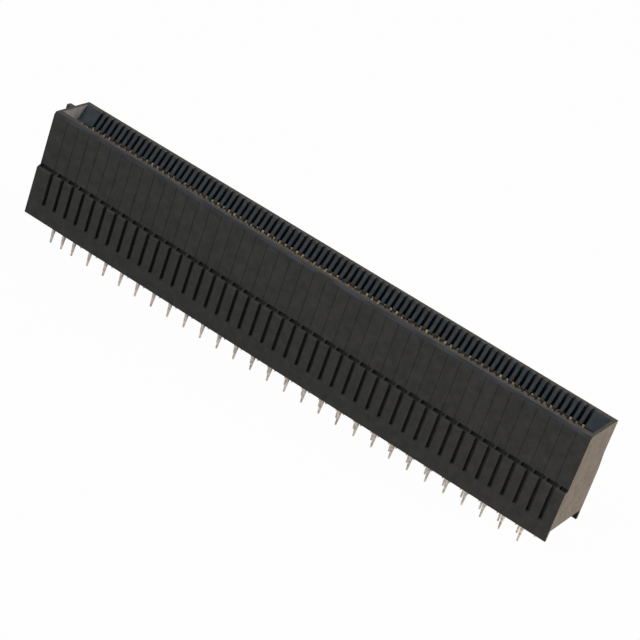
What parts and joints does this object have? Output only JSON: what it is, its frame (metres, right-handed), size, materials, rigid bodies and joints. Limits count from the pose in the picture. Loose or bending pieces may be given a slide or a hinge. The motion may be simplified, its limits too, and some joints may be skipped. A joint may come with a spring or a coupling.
{
  "type": "backplane connector",
  "caption": "Long narrow black card-edge connector: moulded housing with a flared card slot between two rows of spring contacts, and staggered press-fit tails below a stepped flange.",
  "frame": {"origin": "middle of the contact array, on the card's middle plane and on the face of the board that the skirts seat on", "axes": "+X along the contact rows, away from the end with the keying rib; +Y towards the back wall with the ramped flange; +Z out of the board, the way a card leaves"},
  "size_m": [0.0687, 0.0071, 0.0144],
  "materials": {
    "black_plastic": "matte moulded thermoplastic with a fine grain",
    "plated_contact": "stamped copper alloy, gold-plated springs and tin-plated tails"
  },
  "bodies": {
    "root": {"housing": "black_plastic", "front_contacts_01": "plated_contact", "front_contacts_02": "plated_contact", "front_contacts_03": "plated_contact", "front_contacts_04": "plated_contact", "front_contacts_05": "plated_contact", "front_contacts_06": "plated_contact", "front_contacts_07": "plated_contact", "front_contacts_08": "plated_contact", "front_contacts_09": "plated_contact", "front_contacts_10": "plated_contact", "front_contacts_11": "plated_contact", "front_contacts_12": "plated_contact", "front_contacts_13": "plated_contact", "front_contacts_14": "plated_contact", "front_contacts_15": "plated_contact", "front_contacts_16": "plated_contact", "front_contacts_17": "plated_contact", "front_contacts_18": "plated_contact", "front_contacts_19": "plated_contact", "front_contacts_20": "plated_contact", "front_contacts_21": "plated_contact", "front_contacts_22": "plated_contact", "front_contacts_23": "plated_contact", "front_contacts_24": "plated_contact", "front_contacts_25": "plated_contact", "front_contacts_26": "plated_contact", "front_contacts_27": "plated_contact", "front_contacts_28": "plated_contact", "front_contacts_29": "plated_contact", "back_contacts_01": "plated_contact", "back_contacts_02": "plated_contact", "back_contacts_03": "plated_contact", "back_contacts_04": "plated_contact", "back_contacts_05": "plated_contact", "back_contacts_06": "plated_contact", "back_contacts_07": "plated_contact", "back_contacts_08": "plated_contact", "back_contacts_09": "plated_contact", "back_contacts_10": "plated_contact", "back_contacts_11": "plated_contact", "back_contacts_12": "plated_contact", "back_contacts_13": "plated_contact", "back_contacts_14": "plated_contact", "back_contacts_15": "plated_contact", "back_contacts_16": "plated_contact", "back_contacts_17": "plated_contact", "back_contacts_18": "plated_contact", "back_contacts_19": "plated_contact", "back_contacts_20": "plated_contact", "back_contacts_21": "plated_contact", "back_contacts_22": "plated_contact", "back_contacts_23": "plated_contact", "back_contacts_24": "plated_contact", "back_contacts_25": "plated_contact", "back_contacts_26": "plated_contact", "back_contacts_27": "plated_contact", "back_contacts_28": "plated_contact", "back_contacts_29": "plated_contact"}
  },
  "joints": []
}
